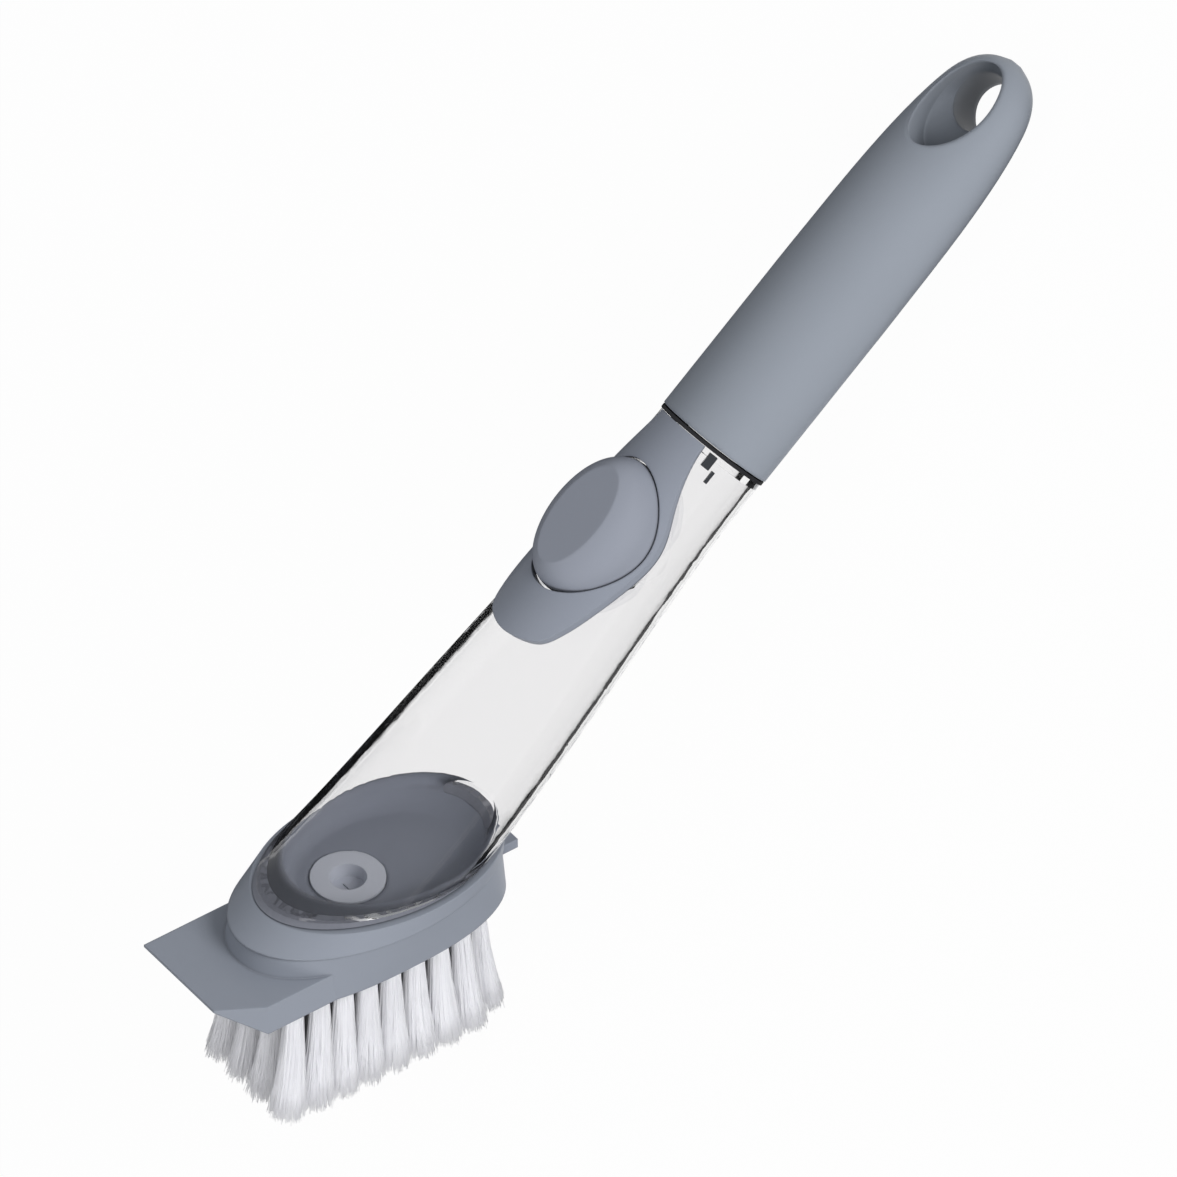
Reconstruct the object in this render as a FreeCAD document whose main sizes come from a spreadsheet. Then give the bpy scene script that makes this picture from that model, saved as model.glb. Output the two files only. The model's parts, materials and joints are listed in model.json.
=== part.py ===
import FreeCAD, Part
import Sketcher
import math
import os

# A soap-dispensing dish wand, in millimetres. The wand is drawn in its own axes first: X along the
# tube and handle with zero at the joint between them, Z towards the pump button. The base and the
# brush head are drawn in axes leaned by head_angle about Y. At the end everything is laid down on its
# bristles and its handle, the way the wand lies on a draining board.

SIZES = (
    # Clearances: between pieces that move, between pieces that are assembled, and past a cut.
    ("run_gap", 0.35), ("fit_gap", 0.1), ("overrun", 6.0),
    # Handle grip.
    ("grip_length", 113.5), ("grip_wall", 1.5),
    # Bayonet: neck of the tube, its lugs, and the socket, stopper and seals round it.
    ("neck_length", 21.5), ("neck_wall", 1.8),
    ("lug_station", 12.0), ("lug_length", 3.0), ("lug_width", 6.0), ("lug_reach", 1.4),
    ("stop_width", 2.0), ("twist_range", 60.0),
    ("seal_thickness", 0.9), ("stopper_thickness", 2.0), ("stopper_depth", 6.0), ("cord_radius", 0.7),
    # Clear reservoir tube.
    ("tube_radius", 14.5), ("tube_length", 139.0), ("tube_wall", 1.8), ("head_angle", 39.4),
    ("lock_lug_length", 3.6), ("lock_lug_width", 2.2), ("lock_lug_rise", 1.1),
    ("tick_length", 3.2), ("tick_width", 0.8), ("tick_rise", 0.7),
    # Pump: saddle, button and diaphragm cup.
    ("saddle_rise", 2.5), ("saddle_edge", 0.7),
    ("button_wall", 1.6), ("stem_radius", 4.0), ("button_travel", 3.0), ("cup_wall", 0.9),
    # Base dish and its spigot, seals and valve.
    ("rim_height", 1.7), ("dish_depth", 4.2), ("plug_drop", 1.6),
    ("base_seal_height", 1.4), ("base_seal_inset", 0.7),
    ("spigot_wall", 2.0), ("spigot_plate", 1.8), ("spigot_depth", 10.4),
    ("head_seal_height", 2.0), ("head_seal_depth", 0.8),
    ("valve_flange", 1.4), ("valve_stand", 0.5), ("well_depth", 4.0), ("well_wall", 0.95),
    ("slit_width", 0.3),
    # Release tongue at the back.
    ("tongue_thickness", 1.4), ("nub_height", 2.6), ("nub_reach", 2.4),
    # Brush head: collar, skirt, scraper and tufts.
    ("collar_drop", 5.2), ("step_inset", 0.7), ("head_height", 19.4),
    ("blade_drop", 10.9), ("blade_edge", 0.7), ("pocket_floor_gap", 1.6),
    ("outlet_radius", 1.5), ("tuft_hole_depth", 6.6), ("tuft_length", 33.0),
    ("staple_height", 1.0), ("staple_thickness", 0.5),
)

# Sizes that follow another one, each as its share of it: the handle's and its hanging hole's, the
# neck's, the pump's, and those of the base and the head, which follow the tube that they fit.
TIED_SHARES = {
    "grip_radius": ("tube_radius", 1.03448),
    "core_depth": ("grip_length", 0.63436), "core_tip_radius": ("grip_radius", 0.53333),
    "hang_station": ("grip_length", 0.89427), "hang_radius": ("grip_radius", 0.5),
    "hang_level": ("grip_radius", 0.1), "mouth_station": ("grip_length", 0.86123),
    "mouth_length": ("grip_radius", 0.85333), "mouth_width": ("grip_radius", 0.56667),
    "mouth_level": ("grip_radius", 0.28),
    "neck_radius": ("tube_radius", 0.74483), "end_level": ("tube_length", 0.53957),
    "saddle_length": ("tube_length", 0.44964), "saddle_width": ("tube_radius", 0.95862),
    "button_station": ("tube_length", 0.21942), "button_length": ("tube_radius", 1.25517),
    "button_width": ("tube_radius", 0.88966), "button_foot_level": ("tube_radius", 0.63448),
    "button_brow_level": ("tube_radius", 0.96552), "button_top_level": ("tube_radius", 1.63448),
    "facet_length": ("button_length", 0.74176), "facet_width": ("button_width", 0.55814),
    "spigot_length": ("tube_radius", 2.03448), "spigot_width": ("tube_radius", 1.33103),
    "bowl_length": ("tube_radius", 1.88966), "bowl_width": ("tube_radius", 1.33103),
    "bowl_lead": ("tube_radius", 0.23724),
    "valve_offset": ("tube_radius", 0.62069), "valve_radius": ("tube_radius", 0.61379),
    "well_radius": ("tube_radius", 0.3069), "tongue_width": ("tube_radius", 0.96552),
    "collar_length": ("tube_radius", 2.27586), "collar_width": ("tube_radius", 1.57241),
    "collar_lead": ("tube_radius", 0.02966),
    "step_length": ("tube_radius", 2.51724), "step_width": ("tube_radius", 1.55172),
    "skirt_length": ("tube_radius", 2.58621), "skirt_width": ("tube_radius", 1.29655),
    "blade_reach": ("tube_radius", 3.80897), "blade_width": ("tube_radius", 1.18621),
    "bevel_length": ("tube_radius", 0.74483), "corner_width": ("tube_radius", 0.44828),
    "tuft_offset": ("tube_radius", 0.40207), "tuft_pitch": ("tube_radius", 0.46897),
    "row_reach": ("tube_radius", 0.84828), "tuft_hole_radius": ("tube_radius", 0.17241),
    "tuft_tip_radius": ("tube_radius", 0.24138),
}

# Handle sections: station along the grip, then half-width and half-height as shares of its radius.
GRIP_SHARES = (
    (0.351, 1.0, 1.0), (0.46, 1.0, 0.99), (0.56, 1.0, 0.968), (0.65, 0.997, 0.93), (0.735, 0.983, 0.862),
    (0.81, 0.95, 0.77), (0.87, 0.893, 0.68), (0.915, 0.815, 0.595), (0.95, 0.69, 0.488), (0.975, 0.52, 0.36),
    (0.991, 0.31, 0.215), (1.0, 0.11, 0.07),
)
# Tube sections: station along the tube, then half-width, half-height and rise as shares of its radius.
TUBE_SHARES = (
    (0.0, 1.0, 1.0, 0.0), (0.446, 1.241, 1.138, 0.0), (0.734, 1.448, 1.2, 0.014),
    (0.863, 1.497, 1.255, 0.069), (1.0, 1.545, 1.331, 0.193), (1.165, 1.586, 1.42, 0.345),
)
# Saddle outline from its tip to the joint: station and half-width as shares of its length and width.
SADDLE_SHARES = (
    (1.0, 0.0), (0.985, 0.36), (0.955, 0.6), (0.9, 0.735), (0.746, 0.9), (0.57, 0.99), (0.47, 1.0),
    (0.365, 0.945), (0.26, 0.815), (0.13, 0.66), (0.0016, 0.575),
)
# Button dome sections above its brow: level, then length and width taper from the oval to the facet.
DOME_SHARES = ((0.0, 0.0, 0.0), (0.38, 0.08, 0.09), (0.7, 0.36, 0.4), (0.9, 0.72, 0.75), (1.0, 1.0, 1.0))
# Bowl sections of the base dish from its floor to above its rim: level, then size, each as a share.
BOWL_SHARES = ((0.0, 0.77), (0.1, 0.84), (0.36, 0.925), (1.0, 1.0), (1.2, 1.012))
END_CROWN_SHARE = 0.207
LUG_ANGLE_SHARE, TICK_ANGLE_SHARE = 0.122, 0.147
ROW_SPREAD_SHARES = (0.94, 1.0, 1.0, 1.0, 1.0, 1.0, 1.0, 0.97, 0.72)
TUFTS_ACROSS = 4
TUFT_FAN_SHARE = 0.1
TOUCH_SHARE = 0.0015
SKIRT_POWER_SHARE = 2.5
SADDLE_SIDE_SHARE = 0.7
MARK_HEIGHT_SHARE = 2.4
GROOVE_SHARE = 1.2
OUTLINE_STEPS = 40
REST_STEPS = 40

# Levels and places in the head's axes: its middle, the dish, the spigot, the valve and the head.
TILT = "head_angle * 1 deg"
CENTRE = "(0 - (end_level / tan(%s) + %g * tube_radius / sin(%s)))" % (TILT, END_CROWN_SHARE, TILT)
FLOOR = "(-end_level - dish_depth)"
FLOOR_FOOT = "(-end_level - dish_depth - spigot_plate)"
PLUG_FOOT = "(-end_level - plug_drop)"
SPIGOT_END = "(-end_level - plug_drop - spigot_depth)"
VALVE_PLACE = "(%s - valve_offset)" % CENTRE
HEAD_TOP = "(-end_level - base_seal_height - run_gap)"
HEAD_FOOT = "(%s - head_height)" % HEAD_TOP
POCKET_FLOOR = "(%s - pocket_floor_gap)" % SPIGOT_END
TONGUE_FOOT = "(%s + run_gap)" % POCKET_FLOOR

doc = FreeCAD.newDocument("dish_wand")
sheet = doc.addObject("Spreadsheet::Sheet", "sizes")
for row, (alias, number) in enumerate(SIZES, 1):
    sheet.set("A%d" % row, alias)
    sheet.set("B%d" % row, str(number))
    sheet.setAlias("B%d" % row, alias)
doc.recompute()

Vector = FreeCAD.Vector
Y_AXIS = Vector(0, 1, 0)
ALONG_X = FreeCAD.Rotation(Y_AXIS, 90)
# Turns a flat oval so that it stands across the tube, its long axis along Y.
ACROSS_X = FreeCAD.Rotation(Vector(1, 1, 1), 120)
# Every size's name, the longest first, so that no name is taken for the start of another.
WORDS = sorted([alias for alias, _ in SIZES] + list(TIED_SHARES), key=len, reverse=True)
NODES = []
LEANED = set()


def value(expression):
    """The number that an expression in the sheet's names gives."""
    result = sheet.evalExpression(with_sheet(expression))
    return getattr(result, "Value", result)


def with_sheet(expression):
    """Writes the sheet's name before each size that an expression uses, and tied sizes as shares."""
    out, index = "", 0
    while index < len(expression):
        hit = next((word for word in WORDS if expression.startswith(word, index)), None)
        before = expression[index - 1] if index else " "
        if not hit or before.isalnum() or before in "_.":
            out += expression[index]
            index += 1
            continue
        if hit in TIED_SHARES:
            out += with_sheet("(%s * %g)" % TIED_SHARES[hit])
        else:
            out += "sizes." + hit
        index += len(hit)
    return out


def add(kind, name, place=None, turn=None, **sizes):
    """Adds an object, sets its place and turn, and binds its sizes and place to the sheet."""
    item = doc.addObject(kind, name)
    if turn:
        item.Placement = FreeCAD.Placement(Vector(), turn)
    for prop, expression in sizes.items():
        item.setExpression(prop, with_sheet(expression))
    for axis, expression in zip("xyz", place or ()):
        item.setExpression("Placement.Base." + axis, with_sheet(expression))
    return item


def box(name, low, high):
    """A block between two corners given as expressions."""
    spans = ["(%s) - (%s)" % pair for pair in zip(high, low)]
    return add("Part::Box", name, low, Length=spans[0], Width=spans[1], Height=spans[2])


def rod(name, radius, start, stop):
    """A round bar along X."""
    return add("Part::Cylinder", name, (start, "0", "0"), ALONG_X,
               Radius=radius, Height="(%s) - (%s)" % (stop, start))


def post(name, radius, station, bottom, top):
    """A round bar along Z."""
    return add("Part::Cylinder", name, (station, "0", bottom),
               Radius=radius, Height="(%s) - (%s)" % (top, bottom))


def oval(name, length, width, station, bottom, top):
    """An upright oval block."""
    edge = add("Part::Ellipse", name + "_edge", (station, "0", bottom),
               MajorRadius=length, MinorRadius=width)
    block = add("Part::Extrusion", name, LengthFwd="(%s) - (%s)" % (top, bottom))
    block.Base = edge
    block.DirMode = "Custom"
    block.Dir = Vector(0, 0, 1)
    block.Solid = True
    return block


def loft(name, sections):
    """A smooth solid through sections."""
    solid = doc.addObject("Part::Loft", name)
    solid.Sections = sections
    solid.Solid = True
    solid.MaxDegree = 3
    return solid


def fuse(name, *items):
    joined = doc.addObject("Part::MultiFuse", name)
    joined.Shapes = list(items)
    joined.Refine = True
    return joined


def common(name, *items):
    shared = doc.addObject("Part::MultiCommon", name)
    shared.Shapes = list(items)
    return shared


def cut(name, base, *tools):
    """A base with one or more tools taken away."""
    rest = doc.addObject("Part::Cut", name)
    rest.Base = base
    rest.Tool = tools[0] if len(tools) == 1 else fuse(name + "_tools", *tools)
    return rest


def piece(label, item, leaned=False):
    """Names a finished piece; leaned pieces were drawn in the head's axes."""
    item.Label = label
    NODES.append(item)
    if leaned:
        LEANED.add(label)
    return item


def feature(label, shape, leaned=False):
    """A piece whose shape comes from a formula."""
    item = doc.addObject("Part::Feature", label)
    item.Shape = shape
    return piece(label, item, leaned)


def flare(name, inset, leaned=False, rise=None):
    """The tube's flared form drawn in by inset, or with a rise, grown towards the top only."""
    sections = []
    for index, (station, wide, high, up) in enumerate(TUBE_SHARES):
        side = top = lift = "0"
        if rise:
            side = "saddle_edge * %g" % (SADDLE_SIDE_SHARE if index else 1)
            top = rise + " / 2" if index else "saddle_edge"
            lift = rise + " / 2" if index else "0"
        sections.append(add(
            "Part::Ellipse", "%s_%d" % (name, index),
            ("-tube_length * %g" % station, "0", "tube_radius * %g + %s" % (up, lift)), ACROSS_X,
            MajorRadius="tube_radius * %g - (%s) + %s" % (wide, inset, side),
            MinorRadius="tube_radius * %g - (%s) + %s" % (high, inset, top)))
    solid = loft(name, sections)
    if leaned:
        solid.Placement = FreeCAD.Placement(Vector(), FreeCAD.Rotation(Y_AXIS, -value("head_angle")))
    return solid


def outline_face(sketch_points):
    """A face bounded by straight lines through the points."""
    return Part.Face(Part.makePolygon(list(sketch_points) + [sketch_points[0]]))


def super_oval(station, length, width, level, power):
    """A closed smooth outline at one level, fuller than an ellipse where its power is over two."""
    points = []
    for step in range(OUTLINE_STEPS):
        turn = 2 * math.pi * step / OUTLINE_STEPS
        c, s = math.cos(turn), math.sin(turn)
        along = math.copysign(abs(c) ** (2 / power), c)
        across = math.copysign(abs(s) ** (2 / power), s)
        points.append(Vector(station + length * along, width * across, level))
    curve = Part.BSplineCurve()
    curve.interpolate(points, PeriodicFlag=True)
    return Part.Wire(curve.toShape())


def polygon(body, name, plane, corners):
    """A closed sketch of straight lines whose corners are bound to expressions."""
    sketch = body.newObject("Sketcher::SketchObject", name)
    support = next(f for f in body.Origin.OriginFeatures if f.Role == plane)
    sketch.AttachmentSupport = (support, [""])
    sketch.MapMode = "FlatFace"
    spots = [Vector(value(x), value(y), 0) for x, y in corners]
    count = len(spots)
    for index, spot in enumerate(spots):
        sketch.addGeometry(Part.LineSegment(spot, spots[(index + 1) % count]))
    for index in range(count):
        sketch.addConstraint(Sketcher.Constraint("Coincident", index, 2, (index + 1) % count, 1))
    for index, (x, y) in enumerate(corners):
        for kind, expression, along in (("DistanceX", x, spots[index].x), ("DistanceY", y, spots[index].y)):
            number = sketch.addConstraint(Sketcher.Constraint(kind, -1, 1, index, 1, along))
            sketch.setExpression("Constraints[%d]" % number, with_sheet(expression))
    return sketch


def turned(name, plane, axis, corners):
    """A body of revolution about one of its own axes."""
    body = doc.addObject("PartDesign::Body", name)
    sketch = polygon(body, name + "_profile", plane, corners)
    spin = body.newObject("PartDesign::Revolution", name + "_turn")
    spin.Profile = sketch
    spin.ReferenceAxis = (next(f for f in body.Origin.OriginFeatures if f.Role == axis), [""])
    spin.Angle = 360
    return body


# Clear tube: flared shell with a shoulder, a bayonet neck with two lugs, and the pump's opening.
def make_tube():
    below = add("Part::Box", "tube_end_cut", turn=FreeCAD.Rotation(Y_AXIS, value("head_angle")),
                Length="4 * tube_length", Width="8 * tube_radius", Height="tube_length")
    drop = "(end_level + tube_length)"
    for axis, expression in (
            ("x", "-sin(%s) * %s - cos(%s) * 3 * tube_length" % (TILT, drop, TILT)),
            ("y", "-4 * tube_radius"),
            ("z", "sin(%s) * 3 * tube_length - cos(%s) * %s" % (TILT, TILT, drop))):
        below.setExpression("Placement.Base." + axis, with_sheet(expression))
    hollow = cut("tube_hollow", flare("tube_inside", "tube_wall"),
                 rod("tube_shoulder", "2 * tube_radius", "-tube_wall", "overrun"))
    lugs = box("neck_lugs", ("lug_station", "-neck_radius - lug_reach", "-lug_width / 2"),
               ("lug_station + lug_length", "neck_radius + lug_reach", "lug_width / 2"))
    ring = rod("lug_limit", "neck_radius + lug_reach", "lug_station", "lug_station + lug_length")
    outer = fuse("tube_outer", flare("tube_form", "0"), rod("neck", "neck_radius", "-tube_wall / 2",
                 "neck_length"), common("neck_lug_pair", lugs, ring))
    mouth = rod("neck_bore", "neck_radius - neck_wall", "-overrun", "neck_length + overrun")
    opening = oval("pump_opening", "button_length + run_gap", "button_width + run_gap",
                   "-button_station", "0", "3 * tube_radius")
    piece("reservoir_tube", cut("tube", outer, hollow, mouth, opening, below))


# Black ring on the tube's shoulder, and the raised stop lug and tick beside the saddle's corner.
def make_neck_marks():
    piece("neck_seal", turned("neck_ring", "XY_Plane", "X_Axis", (
        ("0", "neck_radius + fit_gap"), ("seal_thickness", "neck_radius + fit_gap"),
        ("seal_thickness", "tube_radius + run_gap"), ("0", "tube_radius + run_gap"))))
    marks = (("lock_lug", LUG_ANGLE_SHARE, "seal_thickness / 2", "lock_lug"),
             ("lock_tick", TICK_ANGLE_SHARE, "lock_lug_length", "tick"))
    for label, share, start, kind in marks:
        turn = FreeCAD.Rotation(Vector(1, 0, 0), 360 * share)
        width, rise = kind + "_width", kind + "_rise"
        low = "tube_radius - %s" % rise
        lean = "(%g * 360 deg)" % share
        block = add(
            "Part::Box", label + "_block",
            ("-%s - %s_length" % (start, kind),
             "-cos(%s) * %s / 2 - sin(%s) * (%s)" % (lean, width, lean, low),
             "cos(%s) * (%s) - sin(%s) * %s / 2" % (lean, low, lean, width)), turn,
            Length=kind + "_length", Width=width, Height="%g * %s" % (MARK_HEIGHT_SHARE, rise))
        piece(label, cut(label + "_pad", block, flare(label + "_seat", "0")))


# Pump saddle: a skin on top of the tube in a leaf outline, with the button's oval opening.
def make_saddle():
    length, width = value("saddle_length"), value("saddle_width")
    edge = [Vector(-length * x, width * y, 0) for x, y in SADDLE_SHARES]
    curve = Part.BSplineCurve()
    mirrored = [Vector(p.x, -p.y, 0) for p in reversed(edge[1:])]
    curve.interpolate(mirrored + edge)
    wire = Part.Wire([curve.toShape(), Part.makeLine(edge[-1], mirrored[0])])
    leaf = doc.addObject("Part::Feature", "saddle_leaf")
    leaf.Shape = Part.Face(wire).extrude(Vector(0, 0, 3 * value("tube_radius")))
    skin = common("saddle_skin", flare("saddle_form", "0", rise="saddle_rise"), leaf)
    opening = oval("saddle_opening", "button_length + run_gap", "button_width + run_gap",
                   "-button_station", "0", "3 * tube_radius")
    piece("pump_saddle", cut("saddle", skin, flare("saddle_seat", "-fit_gap"), opening))


# Rigid button: an oval skirt under a dome with a flat thumb facet, hollow, with a stem to the cup.
def make_button():
    def dome(name, inset, lower):
        sections = []
        for index, (up, long, wide) in enumerate(DOME_SHARES):
            level = "button_brow_level + (button_top_level - (%s) - button_brow_level) * %g" % (lower, up)
            sections.append(add(
                "Part::Ellipse", "%s_%d" % (name, index), ("-button_station", "0", level),
                MajorRadius="button_length + (facet_length - button_length) * %g - (%s)" % (long, inset),
                MinorRadius="button_width + (facet_width - button_width) * %g - (%s)" % (wide, inset)))
        return loft(name, sections)

    skirt = oval("button_skirt", "button_length", "button_width", "-button_station",
                 "button_foot_level", "button_brow_level")
    inside = oval("button_inside", "button_length - button_wall", "button_width - button_wall",
                  "-button_station", "button_foot_level - overrun", "button_brow_level")
    shell = cut("button_shell", fuse("button_solid", skirt, dome("button_dome", "0", "0")),
                inside, dome("button_hollow", "button_wall", "button_wall"))
    stem = post("button_stem", "stem_radius", "-button_station",
                "button_foot_level - button_travel - run_gap", "button_top_level - button_wall / 2")
    piece("pump_button", fuse("button", shell, stem))


# Silicone cup bonded inside the tube under the opening; the button's stem stands just above its floor.
def make_diaphragm():
    floor = "button_foot_level - button_travel - 2 * run_gap"
    cup = oval("cup_outer", "button_length + run_gap + cup_wall", "button_width + run_gap + cup_wall",
               "-button_station", "%s - cup_wall" % floor, "3 * tube_radius")
    inside = oval("cup_inner", "button_length + run_gap", "button_width + run_gap",
                  "-button_station", floor, "4 * tube_radius")
    limit = flare("cup_limit", "tube_wall + fit_gap")
    piece("pump_diaphragm", cut("cup", common("cup_block", cup, limit), inside))


# Handle grip: a round shell that flattens and narrows to its end, with a hanging hole through it.
def make_grip():
    start = "seal_thickness + run_gap"
    sections = [add("Part::Ellipse", "grip_section_%d" % index,
                    ("grip_length * %g" % station, "0", "0"), ACROSS_X,
                    MajorRadius="grip_radius * %g" % wide, MinorRadius="grip_radius * %g" % high)
                for index, (station, wide, high) in enumerate(GRIP_SHARES)]
    barrel = rod("grip_barrel", "grip_radius", start, "grip_length * %g" % GRIP_SHARES[0][0])
    solid = fuse("grip_solid", barrel, loft("grip_end", sections))
    bore = rod("grip_bore", "grip_radius - grip_wall", "0", "neck_length + stopper_thickness + 2 * run_gap")
    core = add("Part::Cone", "grip_core", ("neck_length", "0", "0"), ALONG_X,
               Radius1="grip_radius - 2 * grip_wall", Radius2="core_tip_radius",
               Height="core_depth - neck_length")
    throat = post("hang_throat", "hang_radius", "hang_station", "-2 * grip_radius", "hang_level")
    low = add("Part::Ellipse", "hang_low", ("hang_station", "0", "hang_level"),
              MajorRadius="hang_radius", MinorRadius="hang_radius")
    high = add("Part::Ellipse", "hang_high", ("mouth_station", "0", "mouth_level"),
               MajorRadius="mouth_length", MinorRadius="mouth_width")
    funnel = loft("hang_funnel", [low, high])
    mouth = oval("hang_mouth", "mouth_length", "mouth_width", "mouth_station", "mouth_level",
                 "2 * grip_radius")
    piece("handle_grip", cut("grip", solid, bore, core, throat, funnel, mouth))


# Bayonet socket pressed into the grip: a ring with two entry slots, a lug chamber and two stops.
def make_socket():
    start, end = "seal_thickness + run_gap", "neck_length + run_gap"
    chamber = "neck_radius + lug_reach + run_gap"
    sleeve = rod("socket_sleeve", "grip_radius - grip_wall - fit_gap / 2", start, end)
    entry = rod("socket_ring", "neck_radius + run_gap", "0", "neck_length + overrun")
    room = rod("socket_chamber", chamber, "lug_station - run_gap", "neck_length + overrun")
    slots = add("Part::Box", "socket_slots", turn=FreeCAD.Rotation(Vector(1, 0, 0), -value("twist_range")),
                Length="lug_station", Width="2 * (%s)" % chamber, Height="lug_width + 4 * run_gap")
    half = "(lug_width / 2 + 2 * run_gap)"
    slots.setExpression("Placement.Base.y", with_sheet(
        "-cos(twist_range * 1 deg) * (%s) - sin(twist_range * 1 deg) * %s" % (chamber, half)))
    slots.setExpression("Placement.Base.z", with_sheet(
        "sin(twist_range * 1 deg) * (%s) - cos(twist_range * 1 deg) * %s" % (chamber, half)))
    slot_limit = common("socket_slot_pair", slots, rod("socket_slot_limit", chamber, "0", "lug_station"))
    body = cut("socket_body", sleeve, entry, room, slot_limit)
    stops = []
    for side in (1, -1):
        rise = "lug_width / 2 + run_gap"
        reach = ("neck_radius + run_gap", "grip_radius - 2 * grip_wall")
        low = (reach[0], rise) if side > 0 else ("-(%s)" % reach[1], "-(%s) - stop_width" % rise)
        high = (reach[1], "%s + stop_width" % rise) if side > 0 else ("-(%s)" % reach[0], "-(%s)" % rise)
        stops.append(box("socket_stop_%d" % (side > 0), ("lug_station - run_gap",) + low,
                         ("lug_station + lug_length",) + high))
    inner = rod("socket_stop_room", "neck_radius + run_gap", "0", "neck_length + overrun")
    outer = rod("socket_stop_limit", "grip_radius - grip_wall - fit_gap / 2", start, end)
    ribs = cut("socket_ribs", common("socket_rib_pair", fuse("socket_stops", *stops), outer), inner)
    piece("handle_socket", fuse("socket", body, ribs))


# Stopper that closes the neck's mouth, and the ring seal in its groove.
def make_stopper():
    bore = "(neck_radius - neck_wall - run_gap)"
    disc, tip = "(neck_length + run_gap + fit_gap)", "(neck_length - stopper_depth)"
    groove = "(neck_length - stopper_depth / 2)"
    near, far = ("%s %s %g * cord_radius" % (groove, sign, GROOVE_SHARE) for sign in "-+")
    root = bore + " - 2 * cord_radius - fit_gap"
    piece("neck_stopper", turned("stopper", "XY_Plane", "X_Axis", (
        (tip, "0"), (tip, bore), (near, bore), (near, root), (far, root), (far, bore), (disc, bore),
        (disc, "grip_radius - grip_wall - fit_gap / 2"),
        (disc + " + stopper_thickness", "grip_radius - grip_wall - fit_gap / 2"),
        (disc + " + stopper_thickness", "0"))))
    piece("stopper_seal", add("Part::Torus", "stopper_ring", (groove, "0", "0"), ALONG_X,
                              Radius1=bore + " - cord_radius", Radius2="cord_radius"))


# Base dish: a plug inside the tube's oblique end, hollowed to a dish, with the spigot for the head.
def make_base():
    def slab(name, low, high):
        return box(name, ("-3 * tube_length", "-4 * tube_radius", low),
                   ("tube_length", "4 * tube_radius", high))

    inset = "tube_wall + fit_gap"
    plug = common("dish_plug", flare("dish_form", inset, leaned=True),
                  slab("dish_slab", PLUG_FOOT, "rim_height - end_level"))
    bowl = loft("dish_bowl", [add(
        "Part::Ellipse", "dish_bowl_%d" % index,
        (CENTRE + " + bowl_lead * %g" % up, "0", FLOOR + " + (rim_height + dish_depth) * %g" % up),
        MajorRadius="bowl_length * %g" % share, MinorRadius="bowl_width * %g" % share)
        for index, (up, share) in enumerate(BOWL_SHARES)])
    spigot = oval("spigot", "spigot_length", "spigot_width", CENTRE, SPIGOT_END, PLUG_FOOT + " + fit_gap")
    inside = oval("spigot_inside", "spigot_length - spigot_wall", "spigot_width - spigot_wall", CENTRE,
                  SPIGOT_END + " - overrun", FLOOR_FOOT)
    bore = post("valve_bore", "well_radius + well_wall + fit_gap", VALVE_PLACE,
                SPIGOT_END, FLOOR + " + overrun")
    seat = post("valve_seat", "valve_radius + fit_gap", VALVE_PLACE,
                FLOOR + " - valve_flange + valve_stand", FLOOR + " + overrun")
    groove = cut("seal_groove", *(oval(
        "seal_groove_" + face, "spigot_length " + reach, "spigot_width " + reach, CENTRE,
        SPIGOT_END + " + head_seal_height - %s" % over, SPIGOT_END + " + 2 * head_seal_height + %s" % over)
        for face, reach, over in (("out", "+ overrun", "0"), ("in", "- head_seal_depth", "overrun"))))
    side = "(tongue_width / 2 + run_gap)"
    inner, outer = CENTRE + " + spigot_length / 2", CENTRE + " + spigot_length + overrun"
    notch = box("tongue_notch", (inner, "-" + side, SPIGOT_END), (outer, side, FLOOR_FOOT))
    solid = fuse("dish_solid", plug, spigot)
    piece("base_dish", cut("dish", solid, bowl, inside, bore, seat, groove, notch), leaned=True)
    ring = common("base_ring_outer", flare("base_ring_form", "base_seal_inset", leaned=True),
                  slab("base_ring_slab", "-end_level - base_seal_height", "-end_level"))
    room = flare("base_ring_inside", "tube_wall", leaned=True)
    piece("base_seal", cut("base_ring", ring, room), leaned=True)
    seal = cut("head_ring", *(oval(
        "head_ring_" + face, "spigot_length " + reach, "spigot_width " + reach, CENTRE,
        SPIGOT_END + " + head_seal_height + fit_gap - %s" % over,
        SPIGOT_END + " + 2 * head_seal_height - fit_gap + %s" % over)
        for face, reach, over in (("out", "", "0"), ("in", "- head_seal_depth + fit_gap", "overrun"))))
    gap = box("head_ring_gap", (inner, "-" + side, SPIGOT_END), (outer, side, PLUG_FOOT))
    piece("head_seal", cut("head_band", seal, gap), leaned=True)


# Valve: a flat silicone ring with a flat-floored well that has a slit across it.
def make_valve():
    top, foot = FLOOR + " + valve_stand", FLOOR + " + valve_stand - valve_flange"
    deep, outer = top + " - well_depth", "well_radius + well_wall"
    low = deep + " - well_wall"
    body = turned("valve", "XZ_Plane", "Z_Axis", (
        ("0", deep), ("well_radius", deep), ("well_radius", top), ("valve_radius", top),
        ("valve_radius", foot), (outer, foot), (outer, low), ("0", low)))
    slit = box("valve_slit", ("-slit_width / 2", "-well_radius / 2", low + " - overrun"),
               ("slit_width / 2", "well_radius / 2", deep + " + overrun"))
    valve = piece("outlet_valve", cut("valve_cut", body, slit), leaned=True)
    valve.Placement = FreeCAD.Placement(Vector(value(VALVE_PLACE), 0, 0), FreeCAD.Rotation())


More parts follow.
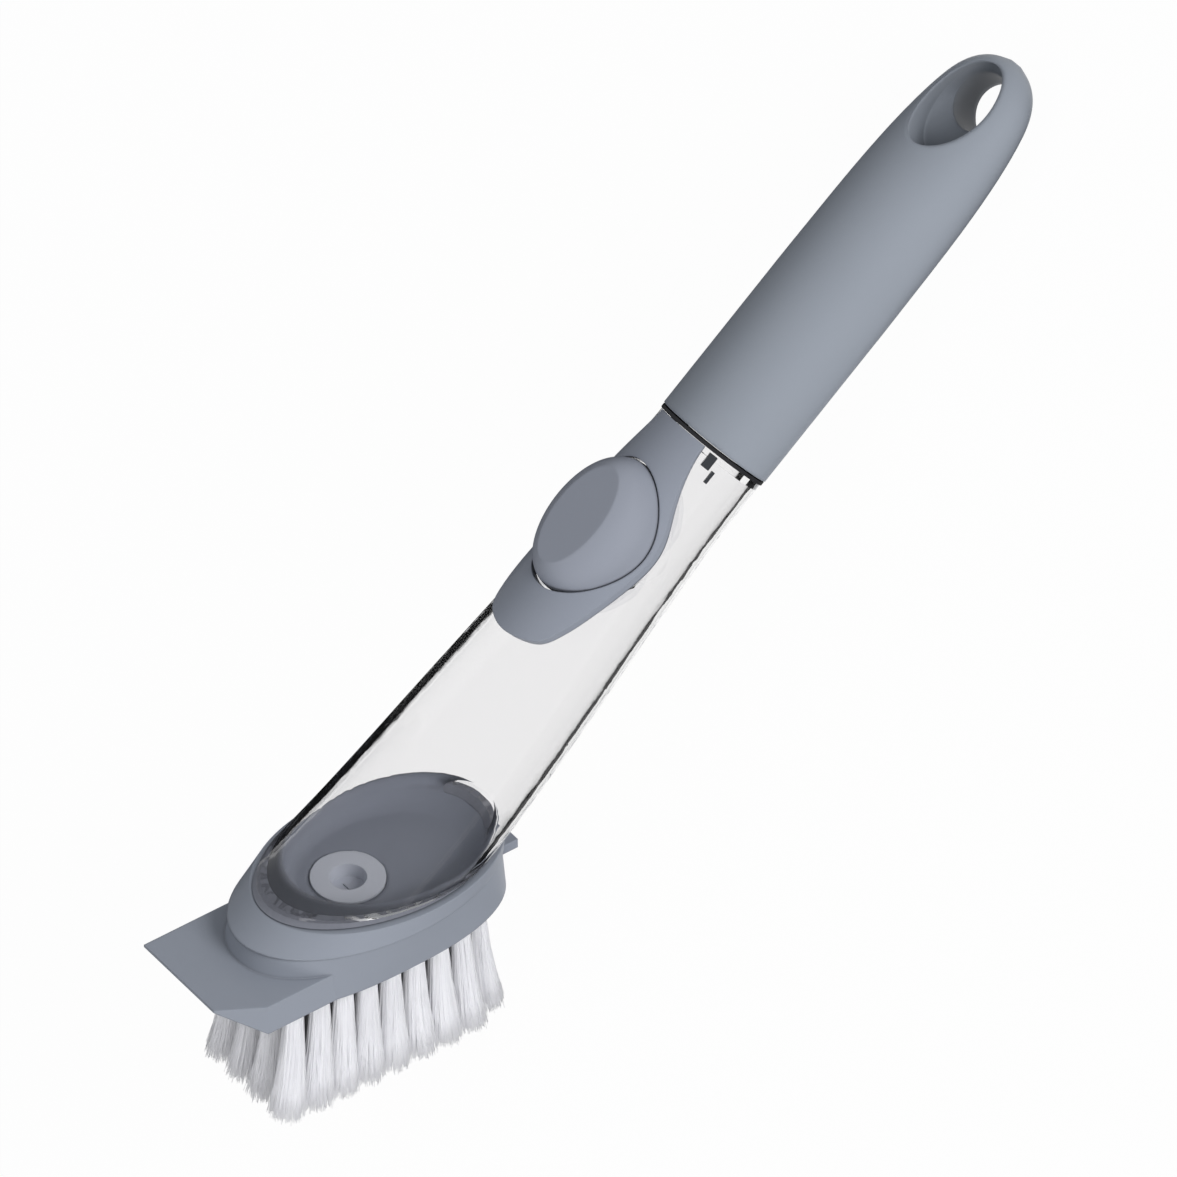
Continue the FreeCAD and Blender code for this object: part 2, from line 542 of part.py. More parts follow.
# Tongue: a springy plate under the dish whose nub stands out through the head's back window.
def make_tongue():
    back = "(%s + spigot_length - spigot_wall)" % CENTRE
    wide = "tongue_width / 2"
    plate = box("tongue_plate", (back + " - tongue_thickness", "-" + wide, TONGUE_FOOT),
                (back, wide, FLOOR_FOOT))
    nub = box("tongue_nub", (back + " - tongue_thickness / 2", "-" + wide, TONGUE_FOOT),
              (CENTRE + " - collar_lead + collar_length + nub_reach", wide, TONGUE_FOOT + " + nub_height"))
    piece("release_tongue", fuse("tongue", plate, nub), leaned=True)


# Head: collar with a sloped face and a step, leaning skirt, scraper blade with one cut corner.
def make_head():
    centre, top = value(CENTRE), value(HEAD_TOP)
    step, foot = value(HEAD_TOP + " - collar_drop"), value(HEAD_FOOT)
    collar_middle = centre - value("collar_lead")
    step_middle = collar_middle + value("collar_length") - value("step_length")
    skirt_middle = collar_middle + value("collar_length") - value("skirt_length")
    brow = super_oval(collar_middle, value("collar_length"), value("collar_width"), top, 2)
    lip = super_oval(step_middle, value("step_length"), value("step_width"), step, 2)
    inset = value("step_inset")
    root = super_oval(step_middle, value("step_length") - inset, value("step_width") - inset, step, 2)
    hem = super_oval(skirt_middle, value("skirt_length"), value("skirt_width"), foot, SKIRT_POWER_SHARE)
    collar = Part.makeLoft([lip, brow], True, True)
    skirt = Part.makeLoft([hem, root], True, True)
    edge, wide = centre - value("blade_reach"), value("blade_width")
    deck, bevel = top - value("blade_drop"), value("bevel_length")
    side = [Vector(edge, -wide, deck), Vector(centre, -wide, deck), Vector(centre, -wide, foot),
            Vector(edge + bevel, -wide, foot), Vector(edge, -wide, deck - value("blade_edge"))]
    blade = outline_face(side).extrude(Vector(0, 2 * wide, 0))
    corner = [Vector(edge - bevel, 2 * value("corner_width") - wide, foot - bevel),
              Vector(edge + bevel, -wide, foot - bevel), Vector(edge - bevel, -2 * wide, foot - bevel)]
    blade = blade.cut(outline_face(corner).extrude(Vector(0, 0, 4 * bevel)))
    solid = skirt.fuse([collar, blade]).removeSplitter()
    blank = doc.addObject("Part::Feature", "head_blank")
    blank.Shape = solid
    pocket = oval("head_pocket", "spigot_length + run_gap", "spigot_width + run_gap", CENTRE, POCKET_FLOOR,
                  HEAD_TOP + " + overrun")
    gap = "tongue_width / 2 + run_gap"
    window = box("head_window", (CENTRE + " + spigot_length / 2", "-(%s)" % gap, POCKET_FLOOR),
                 (CENTRE + " + 2 * collar_length", gap, TONGUE_FOOT + " + nub_height + run_gap"))
    outlet = post("head_outlet", "outlet_radius", VALVE_PLACE, HEAD_FOOT + " - overrun",
                  POCKET_FLOOR + " + overrun")
    holes = doc.addObject("Part::Feature", "tuft_holes")
    radius, depth = value("tuft_hole_radius"), value("tuft_hole_depth")
    holes.Shape = Part.makeCompound([
        Part.makeCylinder(radius, depth + radius, Vector(x, y, foot - radius)) for x, y in tuft_places()])
    piece("head_shell", cut("head", blank, pocket, window, outlet, holes), leaned=True)


def tuft_rows():
    """Places of the tufts, row by row from the scraper to the back."""
    centre, reach = value(CENTRE) - value("tuft_offset"), value("row_reach")
    rows = []
    for index, spread in enumerate(ROW_SPREAD_SHARES):
        along = centre + (index - (len(ROW_SPREAD_SHARES) - 1) / 2) * value("tuft_pitch")
        middle = (TUFTS_ACROSS - 1) / 2
        rows.append([(along, reach * spread * (j - middle) / middle) for j in range(TUFTS_ACROSS)])
    return rows


def tuft_places():
    return [place for row in tuft_rows() for place in row]


# Tufts: straight in their holes, fanning out and thickening to the tips; flat anchors behind them.
def make_tufts():
    centre, foot = value(CENTRE), value(HEAD_FOOT)
    hole, depth = value("tuft_hole_radius"), value("tuft_hole_depth")
    neck = hole - value("fit_gap")
    high, thick = value("staple_height"), value("staple_thickness")
    for number, row in enumerate(tuft_rows(), 1):
        tufts = []
        for x, y in row:
            fan = Vector(TUFT_FAN_SHARE * (x - centre), TUFT_FAN_SHARE * y, -value("tuft_length"))
            base = Vector(x, y, foot + depth - high)
            mouth = Vector(x, y, foot)
            rings = [(base, neck), (mouth, neck), (mouth + fan, value("tuft_tip_radius"))]
            wires = [Part.Wire(Part.makeCircle(size, spot)) for spot, size in rings]
            tufts.append(Part.makeLoft(wires, True, True))
        feature("bristle_row_%d" % number, Part.makeCompound(tufts), leaned=True)
    half = hole - 2 * value("fit_gap")
    anchors = [Part.makeBox(thick, 2 * half, high, Vector(x - thick / 2, y - half, foot + depth - high))
               for x, y in tuft_places()]
    feature("tuft_staples", Part.makeCompound(anchors), leaned=True)


def points_of(item):
    """Surface points of a piece in the wand's own axes."""
    shape = item.Shape.copy()
    if item.Label in LEANED:
        shape.rotate(Vector(), Y_AXIS, value("head_angle"))
    return shape.tessellate(TOUCH_SHARE * value("grip_radius"))[0]


def lowest(points, angle):
    """Lowest height of points once the wand is tipped by an angle about Y."""
    c, s = math.cos(angle), math.sin(angle)
    return min(c * p.z - s * p.x for p in points)


def rest_angle(front, back):
    """The tip at which the handle and the bristles both touch the board."""
    low, high = 0.0, math.pi / 4
    for _ in range(REST_STEPS):
        middle = (low + high) / 2
        if lowest(back, middle) > lowest(front, middle):
            low = middle
        else:
            high = middle
    return low


def lay_down():
    """Lays every piece on the board, with the middle of its outline over the origin."""
    clouds = {item.Label: points_of(item) for item in NODES}
    front = [p for label, cloud in clouds.items() if label.startswith("bristle") for p in cloud]
    angle = rest_angle(front, clouds["handle_grip"])
    c, s = math.cos(angle), math.sin(angle)
    along = [c * p.x + s * p.z for cloud in clouds.values() for p in cloud]
    shift = Vector(-(min(along) + max(along)) / 2, 0, -lowest(front, angle))
    for item in NODES:
        turn = math.degrees(angle) + (value("head_angle") if item.Label in LEANED else 0)
        start = item.Placement
        for path, _ in list(item.ExpressionEngine):
            if "Placement" in path:
                item.setExpression(path, None)
        item.Placement = FreeCAD.Placement(shift, FreeCAD.Rotation(Y_AXIS, turn)).multiply(start)
    print("rest angle %.4f shift %.4f %.4f" % (math.degrees(angle), shift.x, shift.z))


def check_and_write():
    """Stops on a failed object or a bad shape, then writes every piece."""
    doc.recompute()
    for item in doc.Objects:
        if set(item.State) & {"Invalid", "Error"}:
            raise RuntimeError("failed: " + item.Name)
    os.makedirs("parts", exist_ok=True)
    for item in NODES:
        if item.Shape.isNull() or not item.Shape.isValid() or not item.Shape.Solids:
            raise RuntimeError("bad shape: " + item.Label)
    for item in NODES:
        item.Shape.exportStep("parts/%s.step" % item.Label)
        print(item.Label, len(item.Shape.Solids), round(item.Shape.Volume, 1))


make_tube()
make_neck_marks()
make_saddle()
make_button()
make_diaphragm()
make_grip()
make_socket()
make_stopper()
make_base()
make_valve()
make_tongue()
make_head()
make_tufts()
doc.recompute()
lay_down()
check_and_write()
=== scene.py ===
import bpy
import json
import math
import random
import numpy as np
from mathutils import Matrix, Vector


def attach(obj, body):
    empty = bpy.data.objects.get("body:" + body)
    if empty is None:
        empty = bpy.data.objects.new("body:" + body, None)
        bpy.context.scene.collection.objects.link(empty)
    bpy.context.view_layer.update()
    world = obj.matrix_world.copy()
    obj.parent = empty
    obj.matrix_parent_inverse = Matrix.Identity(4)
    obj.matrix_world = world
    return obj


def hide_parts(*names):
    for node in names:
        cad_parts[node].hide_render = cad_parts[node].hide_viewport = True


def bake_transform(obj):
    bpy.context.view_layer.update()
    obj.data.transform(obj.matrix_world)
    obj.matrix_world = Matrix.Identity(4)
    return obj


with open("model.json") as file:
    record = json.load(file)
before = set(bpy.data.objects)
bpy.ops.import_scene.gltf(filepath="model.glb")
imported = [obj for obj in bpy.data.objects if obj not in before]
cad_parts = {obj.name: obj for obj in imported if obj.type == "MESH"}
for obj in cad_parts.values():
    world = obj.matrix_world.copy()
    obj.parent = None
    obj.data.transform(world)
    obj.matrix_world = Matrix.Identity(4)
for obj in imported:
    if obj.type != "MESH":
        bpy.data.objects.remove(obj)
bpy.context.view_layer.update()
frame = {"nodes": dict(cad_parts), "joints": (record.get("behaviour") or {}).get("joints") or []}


# Reservoir tube: one clear moulded shell that flares from the bayonet neck to the oblique foot.
# It is polished styrene, faintly hazy from handling, with the slow ripple that moulding leaves. Light
# that has turned often inside the wall passes straight out of it.
class Shade:
    """A value on its way through a material's nodes; sums and products on it add Math nodes."""

    def __init__(self, tree, socket):
        self.tree = tree
        self.socket = socket

    def node(self, kind, settings, sockets, out=0):
        """Adds a node: its settings first, then the numbers or links of its sockets."""
        made = self.tree.nodes.new(kind)
        for name, setting in settings.items():
            if name == "stops":
                for stop, (spot, colour) in zip(made.color_ramp.elements, setting):
                    stop.position, stop.color = spot, colour
            else:
                setattr(made, name, setting)
        for name, feed in sockets.items():
            if isinstance(feed, Shade):
                self.tree.links.new(feed.socket, made.inputs[name])
            else:
                made.inputs[name].default_value = feed
        return Shade(self.tree, made.outputs[out] if made.outputs else None)

    def maths(self, operation, first, second):
        return self.node("ShaderNodeMath", {"operation": operation}, {0: first, 1: second})

    def __add__(self, other):
        return self.maths("ADD", self, other)

    def __radd__(self, other):
        return self.maths("ADD", other, self)

    def __sub__(self, other):
        return self.maths("SUBTRACT", self, other)

    def __rsub__(self, other):
        return self.maths("SUBTRACT", other, self)

    def __mul__(self, other):
        return self.maths("MULTIPLY", self, other)

    def __rmul__(self, other):
        return self.maths("MULTIPLY", other, self)

    def __pow__(self, other):
        return self.maths("POWER", self, other)


def finish(name, looks):
    """A material whose shader comes from the surface's own coordinates."""
    material = bpy.data.materials.new(name)
    material.use_nodes = True
    tree = material.node_tree
    tree.nodes.clear()
    place = Shade(tree, tree.nodes.new("ShaderNodeTexCoord").outputs["Object"])
    shader = looks(place)
    shader.node("ShaderNodeOutputMaterial", {}, {"Surface": shader})
    return material


def clouds(place, scale, detail=2.0):
    """Soft noise from 0 to 1 whose patches are about one metre over scale across."""
    return place.node("ShaderNodeTexNoise", {}, {"Vector": place, "Scale": scale, "Detail": detail})


def dress(material, *names):
    """Gives CAD pieces their finish."""
    for name in names:
        slots = frame["nodes"][name].data.materials
        slots.clear()
        slots.append(material)


most_turns = 4.5


def clear_styrene(place):
    smear = clouds(place, 45.0, 4.0)
    ripple = place.node("ShaderNodeBump", {}, {"Strength": 0.02, "Distance": 0.0002,
                                              "Height": clouds(place, 28.0, 1.0)})
    wall = place.node("ShaderNodeBsdfPrincipled", {}, {
        "Base Color": (0.935, 0.932, 0.935, 1.0), "Roughness": 0.006 + 0.02 * smear ** 2.0,
        "IOR": 1.33, "Transmission Weight": 1.0, "Normal": ripple})
    lit = place.node("ShaderNodeBsdfTransparent", {}, {"Color": (0.93, 0.93, 0.935, 1.0)})
    shadow = place.node("ShaderNodeLightPath", {}, {}, out="Is Shadow Ray")
    turns = place.node("ShaderNodeLightPath", {}, {}, out="Ray Depth")
    trapped = turns.maths("GREATER_THAN", turns, most_turns)
    passed = shadow.maths("MAXIMUM", shadow, trapped)
    return place.node("ShaderNodeMixShader", {}, {0: passed, 1: wall, 2: lit})


dress(finish("clear_styrene", clear_styrene), "reservoir_tube")


# Seals: rubber rings on the neck's shoulder, in the stopper's groove and round the spigot, all black,
# and a grey one under the tube's foot. They are matt, with a fine talc bloom from the mould.
def rubber(dark, bloomed):
    def looks(place):
        bloom = clouds(place, 900.0, 3.0)
        grain = place.node("ShaderNodeBump", {}, {"Strength": 0.25, "Distance": 0.00005, "Height": bloom})
        colour = place.node("ShaderNodeMix", {"data_type": "RGBA"}, {0: bloom, 6: dark, 7: bloomed}, out=2)
        return place.node("ShaderNodeBsdfPrincipled", {}, {
            "Base Color": colour, "Roughness": 0.5 + 0.2 * bloom, "Normal": grain})
    return looks


black_rubber = finish("black_rubber", rubber((0.012, 0.012, 0.014, 1.0), (0.035, 0.035, 0.038, 1.0)))
dress(black_rubber, "neck_seal", "stopper_seal", "head_seal")
grey_rubber = finish("grey_rubber", rubber((0.18, 0.188, 0.22, 1.0), (0.23, 0.238, 0.275, 1.0)))
dress(grey_rubber, "base_seal")


# Pump saddle: a thin satin cover welded over the tube's opening, with the socket, stopper and tongue
# moulded from the same grey. Its edges are eased and lighter, partly from wear and partly as a painted
# highlight. Its hollows carry painted shade.
# Gains for the lighter edges (wear and painted highlight) and for the painted shade in hollows.
edge_wear_and_highlight_gain, edge_wear_and_highlight_lightness = 1.6, 1.25
painted_shade_darkness = 0.35


def moulded(low, high, rough, grain_scale, grain, ease, painted_shade_reach=0.001):
    """A moulded plastic between two close greys, with a fine grain, eased edges lightened by wear and a
    painted highlight, and painted shade in its hollows.
    """
    def looks(place):
        drift = clouds(place, 30.0, 3.0)
        speck = clouds(place, grain_scale, 2.0)
        eased = place.node("ShaderNodeBevel", {"samples": 6}, {"Radius": ease})
        flat = place.node("ShaderNodeNewGeometry", {}, {}, out="Normal")
        turn = place.node("ShaderNodeVectorMath", {"operation": "DOT_PRODUCT"}, {0: eased, 1: flat},
                          out="Value")
        # Edges are lighter than the faces, partly from wear and partly as a painted highlight.
        edge_wear_and_highlight = (1.0 - turn) * edge_wear_and_highlight_gain
        # Painted shade: the colour goes darker where the surface is hemmed in, in creases and recesses.
        painted_shade_openness = place.node("ShaderNodeAmbientOcclusion", {"samples": 8}, {"Distance": painted_shade_reach}, out="AO")
        painted_shade_colour = tuple(painted_shade_darkness * part for part in low[:3]) + (1.0,)
        unshaded_colour = place.node("ShaderNodeMix", {"data_type": "RGBA"}, {
            0: 0.7 * drift + 0.3 * speck, 6: low, 7: high}, out=2)
        base = place.node("ShaderNodeMix", {"data_type": "RGBA"}, {0: painted_shade_openness, 6: painted_shade_colour, 7: unshaded_colour}, out=2)
        colour = place.node("ShaderNodeMix", {"data_type": "RGBA"}, {
            0: edge_wear_and_highlight, 6: base, 7: tuple(min(1.0, edge_wear_and_highlight_lightness * part) for part in high)}, out=2)
        skin = place.node("ShaderNodeBump", {}, {"Strength": grain, "Distance": 0.00005,
                                                "Height": speck, "Normal": eased})
        return place.node("ShaderNodeBsdfPrincipled", {}, {
            "Base Color": colour, "Roughness": rough + 0.1 * drift - 0.1 * edge_wear_and_highlight, "Normal": skin})
    return looks


satin_grey = finish("satin_grey", moulded(
    (0.255, 0.275, 0.325, 1.0), (0.285, 0.308, 0.36, 1.0), 0.36, 2600.0, 0.16, 0.0005))
dress(satin_grey, "pump_saddle", "handle_socket", "neck_stopper", "release_tongue")


# Pump button: a rigid thumb cap in the saddle's opening, in a slightly softer, finer-grained grey.
# The cup below it is clear silicone, which keeps the soap in and pushes the button back up.
button_grey = finish("button_grey", moulded(
    (0.275, 0.293, 0.345, 1.0), (0.305, 0.325, 0.378, 1.0), 0.42, 3200.0, 0.14, 0.0008))
dress(button_grey, "pump_button")


def clear_silicone(place):
    haze = clouds(place, 160.0, 3.0)
    skin = place.node("ShaderNodeBsdfPrincipled", {}, {
        "Base Color": (0.95, 0.95, 0.955, 1.0), "Roughness": 0.12 + 0.15 * haze, "IOR": 1.08,
        "Transmission Weight": 1.0})
    lit = place.node("ShaderNodeBsdfTransparent", {}, {"Color": (0.95, 0.95, 0.955, 1.0)})
    shadow = place.node("ShaderNodeLightPath", {}, {}, out="Is Shadow Ray")
    return place.node("ShaderNodeMixShader", {}, {0: shadow, 1: skin, 2: lit})


# The cup is bonded to the tube all round its rim, and in use its floor goes down with the button's stem;
# here it is an unmoving copy of the diaphragm's shape.
cup = bpy.data.objects.new("silicone_cup", frame["nodes"]["pump_diaphragm"].data.copy())
bpy.context.scene.collection.objects.link(cup)
cup.data.materials.clear()
cup.data.materials.append(finish("clear_silicone", clear_silicone))
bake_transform(cup)
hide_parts("pump_diaphragm")


def grey_silicone(place):
    dust = clouds(place, 1400.0, 3.0)
    eased = place.node("ShaderNodeBevel", {"samples": 6}, {"Radius": 0.0004})
    skin = place.node("ShaderNodeBump", {}, {"Strength": 0.2, "Distance": 0.00004, "Height": dust,
                                            "Normal": eased})
    colour = place.node("ShaderNodeMix", {"data_type": "RGBA"}, {
        0: 0.6 * clouds(place, 120.0, 2.0) + 0.4 * dust,
        6: (0.5, 0.52, 0.575, 1.0), 7: (0.57, 0.59, 0.645, 1.0)}, out=2)
    return place.node("ShaderNodeBsdfPrincipled", {}, {
        "Base Color": colour, "Roughness": 0.45 + 0.15 * dust, "Subsurface Weight": 0.12,
        "Subsurface Radius": (0.0012, 0.0012, 0.0013), "Normal": skin})


dress(finish("grey_silicone", grey_silicone), "outlet_valve")


# Base dish: the plug in the tube's foot, hollowed towards the soap valve, its grey painted darker as
# shade. The stop lug and the tick beside the neck are painted nearly black, a painted dark refraction of
# these clear-moulded features.
# Painted shade: the dish is a darker copy of the saddle's grey.
dish_grey_painted_shade = finish("dish_grey_painted_shade", moulded(
    (0.208, 0.224, 0.268, 1.0), (0.232, 0.248, 0.295, 1.0), 0.4, 2200.0, 0.14, 0.002))
dress(dish_grey_painted_shade, "base_dish")
# Painted dark refraction: the lug and tick are coloured nearly black.
painted_refraction_black = finish("painted_refraction_black", moulded(
    (0.03, 0.033, 0.038, 1.0), (0.045, 0.048, 0.055, 1.0), 0.36, 2200.0, 0.14, 0.0002))
dress(painted_refraction_black, "lock_lug", "lock_tick")


# Brush head: a stiff moulding with a sloped collar, a skirt and the scraper blade. Flat steel anchors
# deep in its holes hold the tufts.
head_grey = finish("head_grey", moulded(
    (0.268, 0.29, 0.338, 1.0), (0.298, 0.322, 0.373, 1.0), 0.4, 2600.0, 0.18, 0.0006))
dress(head_grey, "head_shell")


def drawn_wire(place):
    streak = clouds(place, 1800.0, 1.0)
    return place.node("ShaderNodeBsdfPrincipled", {}, {
        "Base Color": (0.6, 0.6, 0.62, 1.0), "Metallic": 1.0, "Roughness": 0.25 + 0.2 * streak})


dress(finish("drawn_wire", drawn_wire), "tuft_staples")


# Tufts: bundles of white nylon filaments folded over their anchors, standing straight in the holes
# and fanning out to trimmed, slightly uneven ends. One filament is shaped, and copied strand by strand.
# The roots of the inner tufts carry painted shade, darkest at the head, because little light reaches them.
tuft_rows = 9
solid_root_radius, solid_tip_radius = 0.0024, 0.0035
level_slack = 1e-5
strand_radius = 0.00008
strand_bends = 3
strand_taper = 0.7
strands_in_tuft = 800
hole_depth_shown = 0.0015
anchor_to_mouth = 0.0056
neck_radius, end_radius = 0.0021, 0.0043
golden_turn, turn_slack = 2.39996, 0.3
end_wander, end_trim, strand_bow = 0.0004, 0.0009, 0.00022
late_flare = 0.85
inner_root_painted_shade = 0.95

bpy.ops.object.select_all(action="DESELECT")
bpy.ops.mesh.primitive_cylinder_add(vertices=4, radius=strand_radius, depth=1.0, location=(0, 0, 0.5))
strand = bpy.context.object
bpy.ops.object.transform_apply(location=True)
bpy.ops.object.mode_set(mode="EDIT")
bpy.ops.mesh.select_mode(type="EDGE")
bpy.ops.mesh.select_all(action="DESELECT")
bpy.ops.object.mode_set(mode="OBJECT")
for edge in strand.data.edges:
    ends = [strand.data.vertices[i].co.z for i in edge.vertices]
    edge.select = abs(ends[0] - ends[1]) > 0.5
bpy.ops.object.mode_set(mode="EDIT")
bpy.ops.mesh.subdivide(number_cuts=strand_bends)
bpy.ops.object.mode_set(mode="OBJECT")
strand_points = np.array([vertex.co for vertex in strand.data.vertices])
strand_faces = [list(face.vertices) for face in strand.data.polygons]
tip = strand_points[:, 2] > 0.99
strand_points[tip, :2] *= strand_taper
bpy.data.objects.remove(strand)

head_joint = next(joint for joint in frame["joints"] if joint["name"] == "head_pull_off")
down = np.array(head_joint["axis"], float)
across = np.array((0.0, 1.0, 0.0))
forward = np.cross(across, down)


def ring_centres(points, radius):
    """Middles of the four tufts of a row, from the points of one of their rings."""
    side = points[:, 1]
    reach = np.abs(side).max() - radius
    limits = (-1.0, -2.0 * reach / 3.0, 0.0, 2.0 * reach / 3.0, 1.0)
    centres = []
    for low, high in zip(limits, limits[1:]):
        ring = points[(side > low) & (side < high)]
        centres.append((ring.min(axis=0) + ring.max(axis=0)) / 2.0)
    return centres


def nylon(place):
    tone = place.node("ShaderNodeAttribute", {"attribute_name": "tone"}, {}, out="Fac")
    root_painted_shade = place.node("ShaderNodeAttribute", {"attribute_name": "root_painted_shade"}, {}, out="Fac")
    shade = place.node("ShaderNodeMix", {"data_type": "RGBA"}, {
        0: tone, 6: (0.9, 0.9, 0.912, 1.0), 7: (0.965, 0.965, 0.97, 1.0)}, out=2)
    # Painted shade: the inner tufts go dark towards their roots.
    colour = place.node("ShaderNodeMix", {"data_type": "RGBA"}, {
        0: root_painted_shade, 6: shade, 7: (0.04, 0.04, 0.045, 1.0)}, out=2)
    filament = place.node("ShaderNodeBsdfPrincipled", {}, {
        "Base Color": colour, "Roughness": 0.38 + 0.12 * tone})
    through = place.node("ShaderNodeBsdfTranslucent", {}, {"Color": colour})
    milky = place.node("ShaderNodeMixShader", {}, {0: 0.55, 1: filament, 2: through})
    lit = place.node("ShaderNodeBsdfTransparent", {}, {"Color": (0.96, 0.96, 0.97, 1.0)})
    shadow = place.node("ShaderNodeLightPath", {}, {}, out="Is Shadow Ray")
    return place.node("ShaderNodeMixShader", {}, {0: 0.95 * shadow, 1: milky, 2: lit})


white_nylon = finish("white_nylon", nylon)
dice = random.Random(11)
for number in range(1, tuft_rows + 1):
    row = "bristle_row_%d" % number
    solid = np.array([vertex.co for vertex in frame["nodes"][row].data.vertices])
    depth = solid @ down
    roots = ring_centres(solid[depth < depth.min() + level_slack], solid_root_radius)
    ends = ring_centres(solid[depth > depth.max() - level_slack], solid_tip_radius)
    points, faces, tones, root_painted_shades = [], [], [], []
    for place_in_row, (root, end) in enumerate(zip(roots, ends)):
        inner = 1 < number < tuft_rows and place_in_row in (1, 2)
        mouth = root + down * anchor_to_mouth
        start = mouth - down * hole_depth_shown
        for index in range(strands_in_tuft):
            spread = math.sqrt((index + 0.5) / strands_in_tuft)
            turn = index * golden_turn + dice.uniform(-turn_slack, turn_slack)
            aside = math.cos(turn) * forward + math.sin(turn) * across
            wander = dice.gauss(0.0, end_wander) * forward + dice.gauss(0.0, end_wander) * across
            foot = start + aside * spread * neck_radius
            cut = down * abs(dice.gauss(0.0, end_trim))
            stop = end + aside * (spread * end_radius) + wander - cut
            bow = dice.gauss(0.0, strand_bow) * forward + dice.gauss(0.0, strand_bow) * across
            share = strand_points[:, 2:3]
            run = stop - foot
            outwards = run - down * (run @ down)
            line = foot + run * share - outwards * share * (1.0 - share) * late_flare
            line = line + bow * np.sin(math.pi * share)
            body = line + strand_points[:, :1] * forward + strand_points[:, 1:2] * across
            first = len(points) * len(strand_points)
            points.append(body)
            faces.extend([first + corner for corner in face] for face in strand_faces)
            tones.append(np.full(len(body), dice.random()))
            # Painted shade on the inner tufts, strongest at the root.
            root_painted_shades.append(inner_root_painted_shade * inner * (1.0 - strand_points[:, 2]))
    mesh = bpy.data.meshes.new("nylon_tufts_%d" % number)
    mesh.from_pydata(np.concatenate(points).tolist(), [], faces)
    for name, numbers in (("tone", tones), ("root_painted_shade", root_painted_shades)):
        mesh.attributes.new(name, "FLOAT", "POINT").data.foreach_set("value", np.concatenate(numbers))
    mesh.materials.append(white_nylon)
    mesh.polygons.foreach_set("use_smooth", [True] * len(mesh.polygons))
    tufts = bpy.data.objects.new("nylon_tufts_%d" % number, mesh)
    bpy.context.scene.collection.objects.link(tufts)
    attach(tufts, "head")
    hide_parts(row)


# Handle grip: a hollow soft-touch handle with a hanging hole, which twists off the neck as its cap.
# Its matt coat has a very fine grain and slight sheen.
# Its painted shade reaches two centimetres, so the hanging hole and other recesses are darkened.
grip_grey = finish("grip_grey", moulded(
    (0.272, 0.298, 0.34, 1.0), (0.298, 0.324, 0.37, 1.0), 0.44, 3600.0, 0.12, 0.0016, 0.02))
dress(grip_grey, "handle_grip")


# Floor: a pale sweep under the wand, which looks white to the lens and through the clear plastic, and
# still takes a trace of the wand's shadow.
def pale_floor(place):
    seen = (place.node("ShaderNodeLightPath", {}, {}, out="Is Camera Ray")
            + place.node("ShaderNodeLightPath", {}, {}, out="Is Glossy Ray")
            + place.node("ShaderNodeLightPath", {}, {}, out="Is Transmission Ray"))
    matt = place.node("ShaderNodeBsdfDiffuse", {}, {"Color": (0.86, 0.86, 0.86, 1.0)})
    white = place.node("ShaderNodeEmission", {}, {"Color": (1.0, 1.0, 1.0, 1.0), "Strength": 1.0})
    return place.node("ShaderNodeMixShader", {}, {0: 0.97 * seen, 1: matt, 2: white})


bpy.ops.object.select_all(action="DESELECT")
bpy.ops.mesh.primitive_plane_add(size=8.0, location=(0.0, 0.0, -0.001))
floor = bpy.context.object
floor.name = "floor"
floor.data.materials.append(finish("pale_floor", pale_floor))


# Black flags: cards on the floor at both sides, seen only in reflections and by light that stays within
# the clear wall. They draw the dark lines along the tube's edges, and leave the rest of it clear.
flag_length, flag_level = 1.2, 0.0005
most_crossings = 2.5


def flag_black(place):
    walls = place.node("ShaderNodeLightPath", {}, {}, out="Transmission Depth")
    edge = walls.maths("LESS_THAN", walls, most_crossings)
    card = place.node("ShaderNodeBsdfDiffuse", {}, {"Color": 0.008 + 0.004 * clouds(place, 60.0, 2.0)})
    clear = place.node("ShaderNodeBsdfTransparent", {}, {})
    return place.node("ShaderNodeMixShader", {}, {0: edge, 1: clear, 2: card})


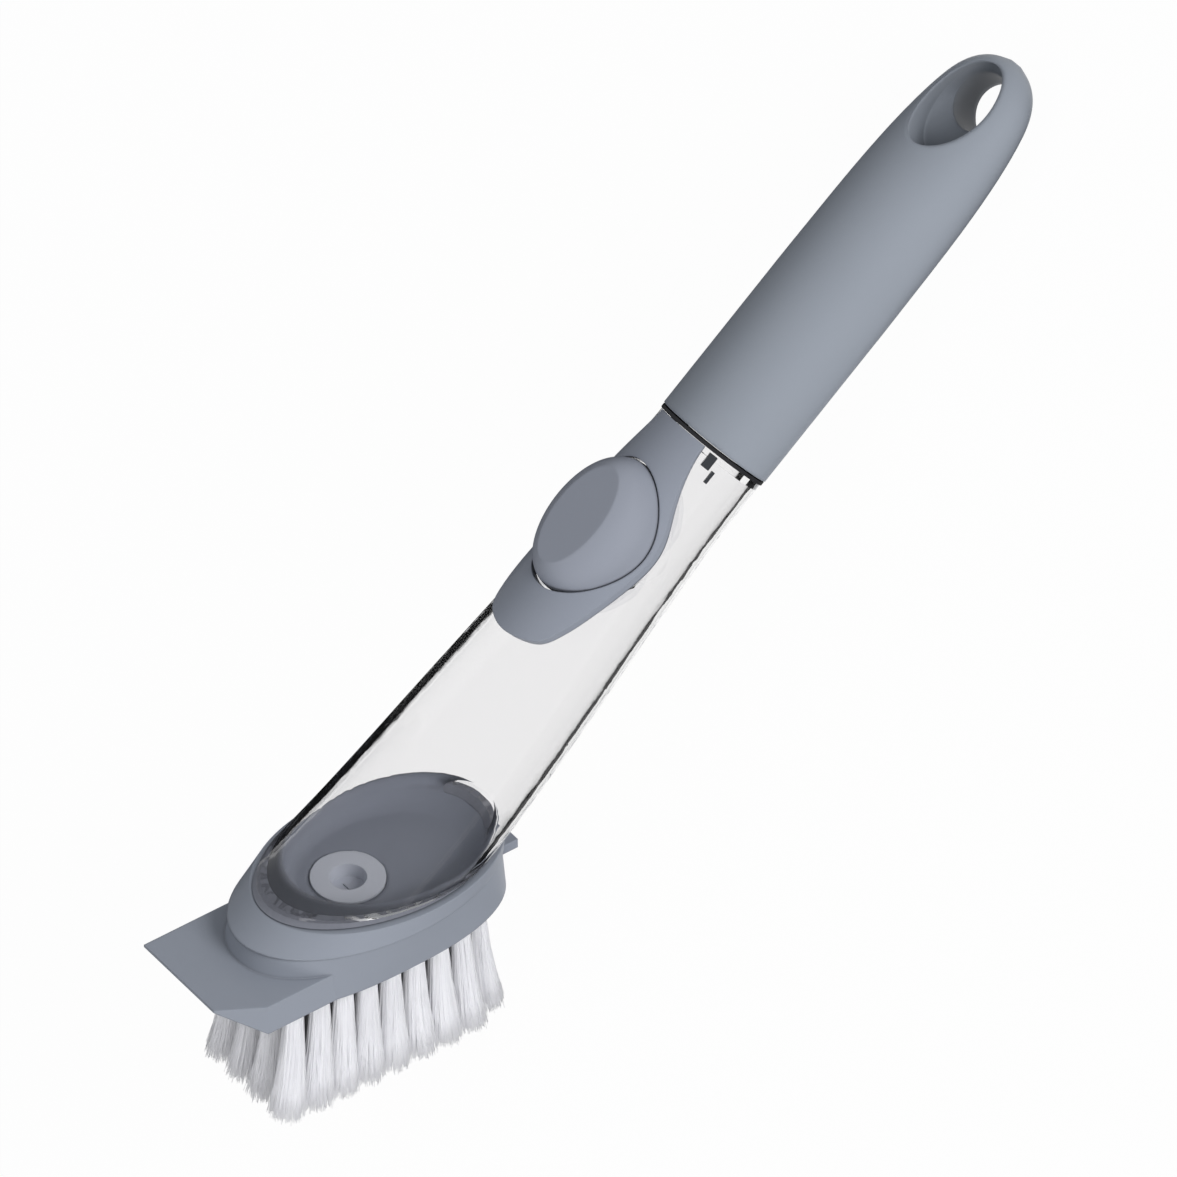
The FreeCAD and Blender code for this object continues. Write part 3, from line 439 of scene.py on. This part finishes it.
black_card = finish("flag_black", flag_black)
for name, near, far in (("flag_left", 0.035, 0.6), ("flag_right", -0.010, -0.6)):
    bpy.ops.object.select_all(action="DESELECT")
    bpy.ops.mesh.primitive_plane_add(size=1.0)
    card = bpy.context.object
    card.name = name
    bpy.ops.transform.resize(value=(flag_length, abs(far - near), 1.0))
    bpy.ops.transform.translate(value=(0.0, (near + far) / 2.0, flag_level))
    bpy.ops.object.transform_apply(location=True, scale=True)
    card.data.materials.append(black_card)
    card.visible_camera = card.visible_diffuse = card.visible_shadow = False


# Light and lens: even light all round, behind a white backdrop for the lens, and three square lamps
# that light the matt surfaces but leave no glare. The long lens stands where the photograph was taken.
world = bpy.data.worlds.new("studio")
bpy.context.scene.world = world
world.use_nodes = True
world.node_tree.nodes.clear()
path = Shade(world.node_tree, world.node_tree.nodes.new("ShaderNodeLightPath").outputs["Is Camera Ray"])
around = path.node("ShaderNodeBackground", {}, {"Color": (0.93, 0.96, 1.0, 1.0), "Strength": 0.32})
behind = path.node("ShaderNodeBackground", {}, {"Color": (1.0, 1.0, 1.0, 1.0), "Strength": 1.0})
sky = path.node("ShaderNodeMixShader", {}, {0: path, 1: around, 2: behind})
sky.node("ShaderNodeOutputWorld", {}, {"Surface": sky})


wand_middle = Vector((0.0, 0.0, 0.03))


def soft_lamp(name, spot, size, power):
    """A square lamp that faces the middle of the wand."""
    lamp = bpy.data.lights.new(name, "AREA")
    lamp.shape, lamp.size, lamp.energy = "SQUARE", size, power
    carrier = bpy.data.objects.new(name, lamp)
    carrier.location = spot
    carrier.rotation_euler = (wand_middle - Vector(spot)).to_track_quat("-Z", "Y").to_euler()
    carrier.visible_glossy = carrier.visible_transmission = False
    bpy.context.scene.collection.objects.link(carrier)


soft_lamp("key", (0.85, -1.5, 0.55), size=0.9, power=23.0)
soft_lamp("fill", (-0.3, 0.0, 1.7), size=1.2, power=4.5)
soft_lamp("front", (-1.2, -0.7, 0.3), size=0.7, power=4.5)

lens = bpy.data.cameras.new("camera")
lens.sensor_width = 36.0
lens.lens = 443.241
lens.clip_end = 30.0
camera = bpy.data.objects.new("camera", lens)
camera.location = (0.76239, -2.01493, 2.6285)
camera.rotation_euler = [math.radians(turn) for turn in (12.543, 38.0807, -49.3116)]
bpy.context.scene.collection.objects.link(camera)
bpy.context.scene.camera = camera
bpy.context.scene.view_settings.view_transform = "Standard"
